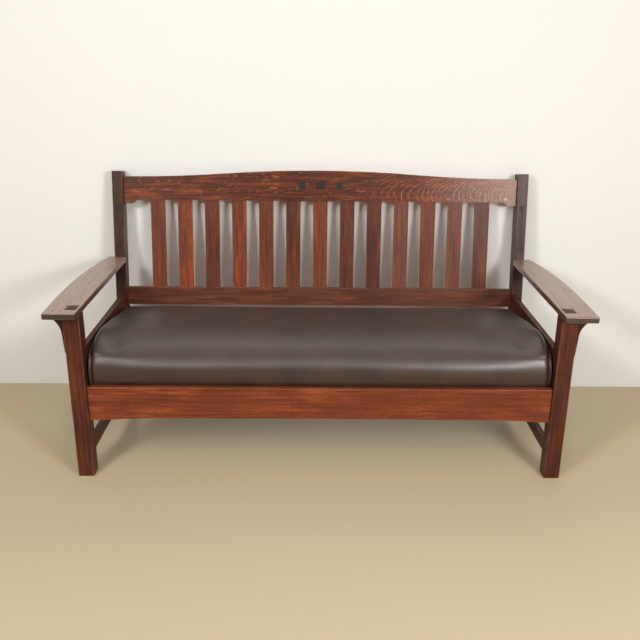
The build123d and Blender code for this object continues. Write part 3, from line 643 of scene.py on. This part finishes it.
# How many steps each part of the section is drawn in, and the points at which the parts end
FACE_STEPS, SHOULDER_STEPS, BROW_STEPS, CROWN_STEPS = 13, 7, 18, 34
REAR_STEPS, SIDE_STEPS, BASE_STEPS = 7, 5, 30
BROW_END = FACE_STEPS + SHOULDER_STEPS + BROW_STEPS
CROWN_END = BROW_END + CROWN_STEPS
TOP_POINTS = CROWN_END + REAR_STEPS + SIDE_STEPS

# Where the top panel is full, where it starts to draw in, the valley beside its piped seam, the seam
# and the end of the boxing
PANEL_FULL, PANEL_END, VALLEY, SEAM, CUSHION_END = 796.0, 801.0, 809.5, 815.5, 820.0
STATION_STEP = 11.0
# Each place near an end, with its tuck all round and how much further it has rolled down on the crown
SEAM_STATIONS = (
    (CUSHION_END, 15.0, 15.0),
    (818.5, 11.0, 13.0),
    (SEAM, 8.0, 10.0),
    (814.5, 8.8, -2.0),
    (812.5, 9.8, -7.1),
    (VALLEY, 10.5, -10.3),
    (805.5, 4.8, -6.3),
    (PANEL_END, 0.8, -2.8),
    (PANEL_FULL, -1.0, -1.0),
)
MIDDLE_TUCK = -2.0
# Between which points of the section that roll comes in and goes out
ROLL_IN = (FACE_STEPS + 1, FACE_STEPS + 11)
ROLL_OUT = (CROWN_END - 6, TOP_POINTS)
# Near its ends the top is as straight as the boxing that it is sewn to. So the front corners rise and the
# crown falls there: by how much, between which places and between which points of the section
CORNER_RISE, CROWN_FALL = 23.0, 12.0
RISE_REACH, FALL_REACH = (715.0, 803.0), (620.0, 790.0)
RISE_POINTS, FALL_POINTS = (FACE_STEPS + 2, BROW_END), (BROW_END - 6, CROWN_END)

WELT_RADIUS = 2.8
WELT_LIFT = 0.7


def arc(centre, radius, start, end, count):
    """Points on an arc in the section, without its last."""
    angles = [start + (end - start) * step / count for step in range(count)]
    return [(centre[0] + radius * cos(angle), centre[1] + radius * sin(angle)) for angle in angles]


def run(start, end, count):
    """Points on a straight run in the section, without its last."""
    return [
        (start[0] + (end[0] - start[0]) * step / count, start[1] + (end[1] - start[1]) * step / count)
        for step in range(count)
    ]


def share_of_way(value, low, high):
    """How far a value has come from low to high, from 0 to 1."""
    return min(1, max(0, (value - low) / (high - low)))


def eased(value, low, high):
    """How far a value has come from low to high, with a soft start and end."""
    share = share_of_way(value, low, high)
    return share * share * (3 - 2 * share)


def bulge(value, low, high):
    """A soft rise and fall between low and high."""
    return sin(pi * share_of_way(value, low, high)) ** 2


def crown_share(number):
    """How much a point of the section belongs to the crown: none of it on the face, less down the rear."""
    return eased(number, *ROLL_IN) * (1 - eased(number, *ROLL_OUT))


def squareness(x, number):
    """How far the straight top of the end boxing stands over the soft brow, and under the swollen crown."""
    rise = CORNER_RISE * eased(abs(x), *RISE_REACH) * bulge(number, *RISE_POINTS)
    return rise - CROWN_FALL * eased(abs(x), *FALL_REACH) * bulge(number, *FALL_POINTS)


def cushion_section(x, fullness, tuck, roll):
    """The section from its front base over the shoulder and the crown to its rear, and back below."""
    front = CUSHION_FRONT + tuck - FACE_FULLNESS * fullness
    rear = CUSHION_REAR - tuck - REAR_DRAW * fullness
    top = CUSHION_TOP - tuck + TOP_FULLNESS * fullness
    rear_top = CUSHION_REAR_TOP - tuck - REAR_DROP * fullness
    middle = CUSHION_BASE + FACE_MIDDLE - tuck + FACE_FULLNESS * fullness
    face_turn = asin((middle - CUSHION_BASE) / FACE_RADIUS)
    points = arc((front + FACE_RADIUS, middle), FACE_RADIUS, pi + face_turn, pi - FACE_LEAN, FACE_STEPS)
    inwards = FACE_RADIUS - SHOULDER_RADIUS
    shoulder = (front + FACE_RADIUS - inwards * cos(FACE_LEAN), middle + inwards * sin(FACE_LEAN))
    points += arc(shoulder, SHOULDER_RADIUS, pi - FACE_LEAN, pi / 2 + BROW_SLOPE, SHOULDER_STEPS)
    brow_radius = (top - shoulder[1] - SHOULDER_RADIUS * cos(BROW_SLOPE)) / (1 - cos(BROW_SLOPE))
    apex = shoulder[0] + (brow_radius - SHOULDER_RADIUS) * sin(BROW_SLOPE)
    points += arc((apex, top - brow_radius), brow_radius, pi / 2 + BROW_SLOPE, pi / 2, BROW_STEPS)
    reach, fall = rear - CUSHION_REAR_ROUND - apex, top - rear_top
    crown_radius = (reach**2 + fall**2) / (2 * fall)
    crown_turn = atan2(reach, crown_radius - fall)
    points += arc((apex, top - crown_radius), crown_radius, pi / 2, pi / 2 - crown_turn, CROWN_STEPS)
    rear_radius = CUSHION_REAR_ROUND / (1 - sin(crown_turn))
    centre = (rear - rear_radius, rear_top - rear_radius * cos(crown_turn))
    points += arc(centre, rear_radius, pi / 2 - crown_turn, 0, REAR_STEPS)
    points += run((rear, centre[1]), (rear, CUSHION_BASE), SIDE_STEPS)
    points += run((rear, CUSHION_BASE), points[0], BASE_STEPS)
    return [
        (y, z - roll * crown_share(number) + squareness(x, number)) for number, (y, z) in enumerate(points)
    ]


def cushion_stations():
    """Places along the cushion, from end to end, with their fullness, tuck and roll."""
    half = [(x, 0, tuck, roll) for x, tuck, roll in SEAM_STATIONS]
    x = PANEL_FULL - STATION_STEP
    # The last one stays clear of its mirror image
    while x > STATION_STEP / 3:
        half.append((x, 1 - (x / PANEL_END) ** 2, MIDDLE_TUCK, 0))
        x -= STATION_STEP
    return [(-station[0], *station[1:]) for station in half] + half[::-1]


def sewn_cushion():
    """The cushion as sewn: sections joined in rings, with flat boxing at both ends."""
    mesh = bmesh.new()
    rings = []
    for x, fullness, tuck, roll in cushion_stations():
        places = [
            (x / PER_METRE, (y - MIDDLE_DEPTH) / PER_METRE, z / PER_METRE)
            for y, z in cushion_section(x, fullness, tuck, roll)
        ]
        rings.append([mesh.verts.new(place) for place in places])
    for first, second in zip(rings, rings[1:]):
        for number in range(len(first)):
            following = (number + 1) % len(first)
            mesh.faces.new((first[number], first[following], second[following], second[number]))
    mesh.faces.new(rings[0])
    mesh.faces.new(rings[-1][::-1])
    bmesh.ops.recalc_face_normals(mesh, faces=mesh.faces)
    data = bpy.data.meshes.new("leather_cushion")
    mesh.to_mesh(data)
    mesh.free()
    return placed("leather_cushion", data)


# The cover is held fully this far up from its base and from just inside its seams. It is held weakly
# elsewhere, and harder towards the seams from where its slack ends. No point swells more than this.
HELD_HEIGHT = 0.004
HELD_PLACE = SEAM / PER_METRE - 0.001
HOLD = 0.12
SLACK_END = 0.66
MOST_SWELL = 0.016
STUFFING_FRAMES = 20
COVER_CLOTH = dict(
    quality=5, mass=0.3, tension_stiffness=15, compression_stiffness=15, shear_stiffness=5,
    bending_stiffness=8, use_pressure=True, uniform_pressure_force=4, vertex_group_mass="held",
)


def stuffed(cushion):
    """Swells the sewn cover over its stuffing with the seams and the base held, and keeps the shape."""
    start = [vertex.co.copy() for vertex in cushion.data.vertices]
    held = cushion.vertex_groups.new(name="held")
    for number, place in enumerate(start):
        low = place.z < CUSHION_BASE / PER_METRE + HELD_HEIGHT
        share = HOLD + (1 - HOLD) * share_of_way(abs(place.x), SLACK_END, HELD_PLACE) ** 2
        held.add([number], 1.0 if low else share, "REPLACE")
    cloth = cushion.modifiers.new("stuffing", "CLOTH")
    for name, value in COVER_CLOTH.items():
        setattr(cloth.settings, name, value)
    cloth.settings.effector_weights.gravity = 0
    cloth.collision_settings.use_collision = False
    scene = bpy.context.scene
    for step in range(1, STUFFING_FRAMES + 1):
        scene.frame_set(step)
    swollen = cushion.evaluated_get(bpy.context.evaluated_depsgraph_get()).data
    moved = [vertex.co.copy() for vertex in swollen.vertices]
    cushion.modifiers.remove(cloth)
    scene.frame_set(1)
    for vertex, old, new in zip(cushion.data.vertices, start, moved):
        swell = new - old
        vertex.co = old + swell * min(1, MOST_SWELL / max(swell.length, 1e-9))


def seam_line(cushion, side):
    """Where the end seam runs over the swollen cushion, from its front base to its rear base, in metres."""
    ring = [station[0] for station in cushion_stations()].index(side * SEAM)
    first = ring * len(cushion_section(0, 0, 0, 0))
    return [cushion.data.vertices[first + number].co.copy() for number in range(TOP_POINTS + 1)]


# The cover's clearance from the seat frame, how far it laps over the cushion's base, its thickness, and
# the rounding of its corners
COVER_GAP, COVER_LAP, COVER_THICKNESS, COVER_ROUND = 0.0003, 0.0015, 0.0011, 0.0009


def drawn_down_cover():
    """The cover's lower part: drawn down over the seat frame's outer faces, to be tacked under it."""
    front_low, rear_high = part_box("seat_frame_front")[0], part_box("seat_frame_rear")[1]
    low = (front_low[0] - COVER_GAP, front_low[1] - COVER_GAP, front_low[2] + COVER_GAP)
    high = (rear_high[0] + COVER_GAP, rear_high[1] + COVER_GAP, CUSHION_BASE / PER_METRE + COVER_LAP)
    bpy.ops.object.select_all(action="DESELECT")
    bpy.ops.mesh.primitive_cube_add(size=1, location=[(bottom + top) / 2 for bottom, top in zip(low, high)])
    band = bpy.context.object
    band.scale = [top - bottom for bottom, top in zip(low, high)]
    bpy.ops.object.transform_apply(location=True, rotation=True, scale=True)
    bpy.ops.object.mode_set(mode="EDIT")
    bpy.ops.mesh.select_mode(type="FACE")
    bpy.ops.mesh.select_all(action="DESELECT")
    mesh = bmesh.from_edit_mesh(band.data)
    for face in mesh.faces:
        face.select = abs(face.normal.z) > 0.5
    bmesh.update_edit_mesh(band.data)
    bpy.ops.mesh.delete(type="ONLY_FACE")
    bpy.ops.object.mode_set(mode="OBJECT")
    shaped(band, "BEVEL", width=COVER_ROUND, segments=3, limit_method="ANGLE", angle_limit=radians(60))
    shaped(band, "SOLIDIFY", thickness=COVER_THICKNESS, offset=1.0)
    return band


def stuffed_seat(hide):
    """The stuffed cushion in its cover. Gives the lines of its end seams."""
    cushion = sewn_cushion()
    stuffed(cushion)
    seams = [seam_line(cushion, side) for side in (-1, 1)]
    shaped(cushion, "SUBSURF", levels=1, render_levels=1)
    smooth(cushion)
    joined([cushion, drawn_down_cover()])
    cushion.data.materials.append(hide)
    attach(cushion, "seat")
    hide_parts("seat_cushion")
    return seams


def seam_piping(seams, hide):
    """The piping that covers both end seams: beside the edge on the crown, and on the outside elsewhere."""
    curve = bpy.data.curves.new("cushion_piping", "CURVE")
    curve.dimensions = "3D"
    curve.bevel_depth = WELT_RADIUS / PER_METRE
    curve.bevel_resolution = 4
    curve.use_fill_caps = True
    for side, line in zip((-1, 1), seams):
        spline = curve.splines.new("POLY")
        spline.points.add(len(line) - 1)
        for number, place in enumerate(line):
            before, after = line[max(number - 1, 0)], line[min(number + 1, len(line) - 1)]
            heading = (after - before).normalized()
            sideways = crown_share(number)
            outwards = Vector((0, -heading.z, heading.y)) * (1 - sideways) + Vector((side, 0, 0)) * sideways
            middle = place + outwards.normalized() * (WELT_RADIUS + WELT_LIFT) / PER_METRE
            spline.points[number].co = (*middle, 1)
    bent = placed("piping_line", curve)
    data = bpy.data.meshes.new_from_object(bent.evaluated_get(bpy.context.evaluated_depsgraph_get()))
    bpy.data.objects.remove(bent)
    piping = placed("cushion_piping", data)
    smooth(piping)
    data.materials.clear()
    data.materials.append(hide)
    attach(piping, "seat")
    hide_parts("cushion_welts")


chocolate_leather = leather("chocolate_leather")
seam_piping(stuffed_seat(chocolate_leather), chocolate_leather)


# Wood screws that hold the cleats: sizes in metres. The shank is tucked a little into the head. Ridges
# follow one another below the plain shank, each groove between two shares of the pitch. The point and the
# head's rounding are shares of the root's radius and of the head's height.
SCREW_LENGTH = 0.036
SCREW_RADIUS = 0.0021
SCREW_ROOT = 0.0015
SCREW_PLAIN = 0.014
SCREW_PITCH = 0.0016
SCREW_RIDGES = int((SCREW_LENGTH - SCREW_PLAIN) / SCREW_PITCH) - 3
SCREW_GROOVE = (0.3, 0.7)
SCREW_TUCK = 0.0002
SCREW_POINT = 0.08
SCREW_HEAD_RADIUS = 0.0042
SCREW_HEAD_HEIGHT = 0.0028
SCREW_HEAD_ROUND = 0.8
SCREW_SLOT = (0.012, 0.0011, 0.0013)
# How many screws a cleat has, over what length and at what height
SCREWS_EACH, SCREW_ROW, SCREW_HEIGHT = 4, 1.408, 0.2871
# Where each row's heads sit from front to back, and which way they are turned
CLEATS = (("front_cleat_screws", -0.330019, -pi / 2), ("rear_cleat_screws", 0.270481, pi / 2))
# How the slots stopped: the first one's turn, and how much further each next one is
FIRST_SLOT, SLOT_STEP = 0.4, 0.9


def screw_head():
    """A round head that stands on the screw's origin, with a driver's slot."""
    bpy.ops.object.select_all(action="DESELECT")
    middle = (0, 0, SCREW_HEAD_HEIGHT / 2)
    bpy.ops.mesh.primitive_cylinder_add(
        vertices=28, radius=SCREW_HEAD_RADIUS, depth=SCREW_HEAD_HEIGHT, location=middle
    )
    head = bpy.context.object
    bpy.ops.object.transform_apply(location=True, rotation=True, scale=True)
    bpy.ops.object.mode_set(mode="EDIT")
    bpy.ops.mesh.select_mode(type="EDGE")
    bpy.ops.mesh.select_all(action="DESELECT")
    mesh = bmesh.from_edit_mesh(head.data)
    for edge in mesh.edges:
        ends = [vertex.co for vertex in edge.verts]
        edge.select = all(end.z > middle[2] and end.xy.length > SCREW_HEAD_RADIUS / 2 for end in ends)
    mesh.select_flush_mode()
    bmesh.update_edit_mesh(head.data)
    bpy.ops.mesh.bevel(offset=SCREW_HEAD_HEIGHT * SCREW_HEAD_ROUND, segments=5, profile=0.5)
    bpy.ops.object.mode_set(mode="OBJECT")
    bpy.ops.object.select_all(action="DESELECT")
    bpy.ops.mesh.primitive_cube_add(size=1, location=(0, 0, SCREW_HEAD_HEIGHT))
    cutter = bpy.context.object
    cutter.scale = (SCREW_SLOT[0], SCREW_SLOT[1], 2 * SCREW_SLOT[2])
    bpy.ops.object.transform_apply(location=True, rotation=True, scale=True)
    shaped(head, "BOOLEAN", operation="DIFFERENCE", object=cutter, solver="EXACT")
    bpy.data.objects.remove(cutter)
    return head


def screw_shank():
    """The plain shank, the ridged thread below it and the point, downwards from the screw's origin."""
    bpy.ops.object.select_all(action="DESELECT")
    bpy.ops.mesh.primitive_circle_add(
        vertices=16, radius=SCREW_RADIUS, fill_type="NGON", location=(0, 0, SCREW_TUCK)
    )
    shank = bpy.context.object
    bpy.ops.object.transform_apply(location=True, rotation=True, scale=True)
    bpy.ops.object.mode_set(mode="EDIT")
    bpy.ops.mesh.select_all(action="SELECT")
    steps = [(SCREW_PLAIN, SCREW_RADIUS)]
    for number in range(SCREW_RIDGES):
        below = SCREW_PLAIN + number * SCREW_PITCH
        steps += [(below + share * SCREW_PITCH, SCREW_ROOT) for share in SCREW_GROOVE]
        steps.append((below + SCREW_PITCH, SCREW_RADIUS))
    steps += [(steps[-1][0] + SCREW_PITCH / 2, SCREW_ROOT), (SCREW_LENGTH, SCREW_ROOT * SCREW_POINT)]
    radius, depth = SCREW_RADIUS, -SCREW_TUCK
    for reach, wide in steps:
        bpy.ops.mesh.extrude_region_move(TRANSFORM_OT_translate={"value": (0, 0, -reach - depth)})
        bpy.ops.transform.resize(value=(wide / radius, wide / radius, 1))
        radius, depth = wide, -reach
    bpy.ops.object.mode_set(mode="OBJECT")
    return shank


def wood_screw():
    """One slotted wood screw."""
    screw = joined([screw_head(), screw_shank()])
    bpy.ops.object.mode_set(mode="EDIT")
    bpy.ops.mesh.select_all(action="SELECT")
    bpy.ops.mesh.normals_make_consistent(inside=False)
    bpy.ops.object.mode_set(mode="OBJECT")
    bpy.ops.object.shade_smooth_by_angle(angle=radians(35))
    screw.data.materials.clear()
    screw.data.materials.append(oiled_steel("oiled_steel_screws"))
    return screw


def fit_screws():
    """Four slotted wood screws through each cleat into its rail."""
    screw = wood_screw()
    for name, head_y, turn in CLEATS:
        copies = []
        for number in range(SCREWS_EACH):
            copy = placed(f"screw_{number}", screw.data.copy())
            slot_turn = Matrix.Rotation(number * SLOT_STEP + FIRST_SLOT, 4, "Z")
            x = (number - (SCREWS_EACH - 1) / 2) * (SCREW_ROW / (SCREWS_EACH - 1))
            place = Matrix.Translation((x, head_y, SCREW_HEIGHT))
            copy.data.transform(place @ Matrix.Rotation(turn, 4, "X").inverted() @ slot_turn)
            copies.append(copy)
        group = joined(copies)
        group.name = f"slotted_{name}"
        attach(group, "frame")
        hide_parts(name)
    bpy.data.objects.remove(screw)


fit_screws()


# Studio
CAMERA_PLACE = (-0.028251, -2.868968, 1.495388)
CAMERA_YAW, CAMERA_PITCH, CAMERA_ROLL = 0.0097833, 0.3409288, -0.0101174
CAMERA_LENS = 43.416
FLOOR_SIZE, FLOOR_DROP = 8.0, 0.0005
WALL_Y, WALL_HALF_WIDTH, WALL_HEIGHT = 0.437, 4.0, 3.0
# How bright the room's white is on the object, to the camera and in gloss
ROOM_LIGHT, ROOM_SEEN, ROOM_MIRRORED = 0.3, 0.92, 0.08
# Each lamp's place, size and power, and what it lights: matt colour, gloss or both
LAMPS = (
    ("key_left", (-1.9, -3.0, 2.3), (0.7, 0.7), 74, "colour"),
    ("key_right", (1.7, -3.0, 1.7), (0.7, 0.7), 74, "colour"),
    ("overhead", (0, -2.5, 3.1), (2.4, 1.2), 32, "colour"),
    ("behind", (0.4, 3.2, 1.3), (2.4, 1.6), 60, "both"),
    ("softbox_right", (2.05, -3.0, 1.7), (0.8, 1.1), 120, "gloss"),
    ("softbox_left", (-2.2, -3.0, 2.1), (1.2, 1.4), 60, "gloss"),
    ("bright_room", (-2.0, -20.0, 11.5), (24.0, 8.0), 2000, "gloss"),
    ("ceiling", (0, -1.5, 4.5), (8.0, 5.0), 150, "gloss"),
    ("wall_glow", (0, 0.42, 1.5), (3.0, 0.5), 9, "gloss"),
)
LAMPS_AIM = Vector((0, 0, 0.5))


def camera():
    """The camera, turned by its yaw, pitch and roll."""
    flat = cos(CAMERA_PITCH)
    ahead = Vector((sin(CAMERA_YAW) * flat, cos(CAMERA_YAW) * flat, -sin(CAMERA_PITCH)))
    level = Vector((cos(CAMERA_YAW), -sin(CAMERA_YAW), 0))
    down = ahead.cross(level)
    right = level * cos(CAMERA_ROLL) + down * sin(CAMERA_ROLL)
    up = level * sin(CAMERA_ROLL) - down * cos(CAMERA_ROLL)
    holder = placed("camera", bpy.data.cameras.new("camera"))
    holder.data.lens = CAMERA_LENS
    holder.matrix_world = Matrix.Translation(CAMERA_PLACE) @ Matrix((right, up, -ahead)).transposed().to_4x4()
    bpy.context.scene.camera = holder


def floor():
    """A sand-coloured floor just below the feet."""
    bpy.ops.object.select_all(action="DESELECT")
    bpy.ops.mesh.primitive_plane_add(size=FLOOR_SIZE, location=(0, 0, -FLOOR_DROP))
    piece = bpy.context.object
    piece.name = "floor"
    material, tree = new_material("studio_floor")
    sand = add(tree, "BsdfPrincipled", {"Base Color": linear("#bdac8d"), "Roughness": 0.7})
    add(tree, "OutputMaterial", [sand])
    piece.data.materials.append(material)


def wall():
    """A pale wall behind the settle, clear from behind."""
    bpy.ops.object.select_all(action="DESELECT")
    bpy.ops.mesh.primitive_plane_add(size=1)
    piece = bpy.context.object
    piece.name = "wall"
    for vertex, (x, z) in zip(piece.data.vertices, [(-1, 0), (1, 0), (-1, 1), (1, 1)]):
        vertex.co = (x * WALL_HALF_WIDTH, WALL_Y, z * WALL_HEIGHT)
    piece.visible_diffuse = False
    piece.visible_shadow = False
    material, tree = new_material("studio_wall")
    from_behind = add(tree, "NewGeometry", output="Backfacing")
    paper = add(tree, "BsdfDiffuse", {"Color": linear("#dfdedb")})
    shown = add(tree, "MixShader", [from_behind, paper, add(tree, "BsdfTransparent")])
    add(tree, "OutputMaterial", [shown])
    piece.data.materials.append(material)


def room():
    """The white of the room, brighter to the camera and dimmer in gloss than on the object."""
    world = bpy.data.worlds.new("studio")
    world.use_nodes = True
    bpy.context.scene.world = world
    tree = world.node_tree
    tree.nodes.clear()
    seen, mirrored = (add(tree, "LightPath", output=f"Is {ray} Ray") for ray in ("Camera", "Glossy"))
    strength = add(tree, "Math", [seen, ROOM_SEEN - ROOM_LIGHT, ROOM_LIGHT], operation="MULTIPLY_ADD")
    strength = add(tree, "Math", [mirrored, ROOM_MIRRORED - ROOM_LIGHT, strength], operation="MULTIPLY_ADD")
    cream = add(tree, "Mix", [seen, linear("#f4e6c9"), linear("#fbf9f4")])
    add(tree, "OutputWorld", [add(tree, "Background", {"Color": cream, "Strength": strength})])


def lamps():
    """The lamps, all turned to the settle."""
    for name, spot, size, power, lights in LAMPS:
        lamp = bpy.data.lights.new(name, "AREA")
        lamp.shape = "RECTANGLE"
        lamp.size, lamp.size_y = size
        lamp.energy = power
        holder = placed(name, lamp)
        holder.location = spot
        holder.visible_camera = False
        holder.visible_glossy = lights != "colour"
        holder.visible_diffuse = lights != "gloss"
        holder.rotation_euler = (LAMPS_AIM - Vector(spot)).to_track_quat("-Z", "Y").to_euler()


bpy.context.scene.view_settings.view_transform = "Standard"
camera()
floor()
wall()
room()
lamps()
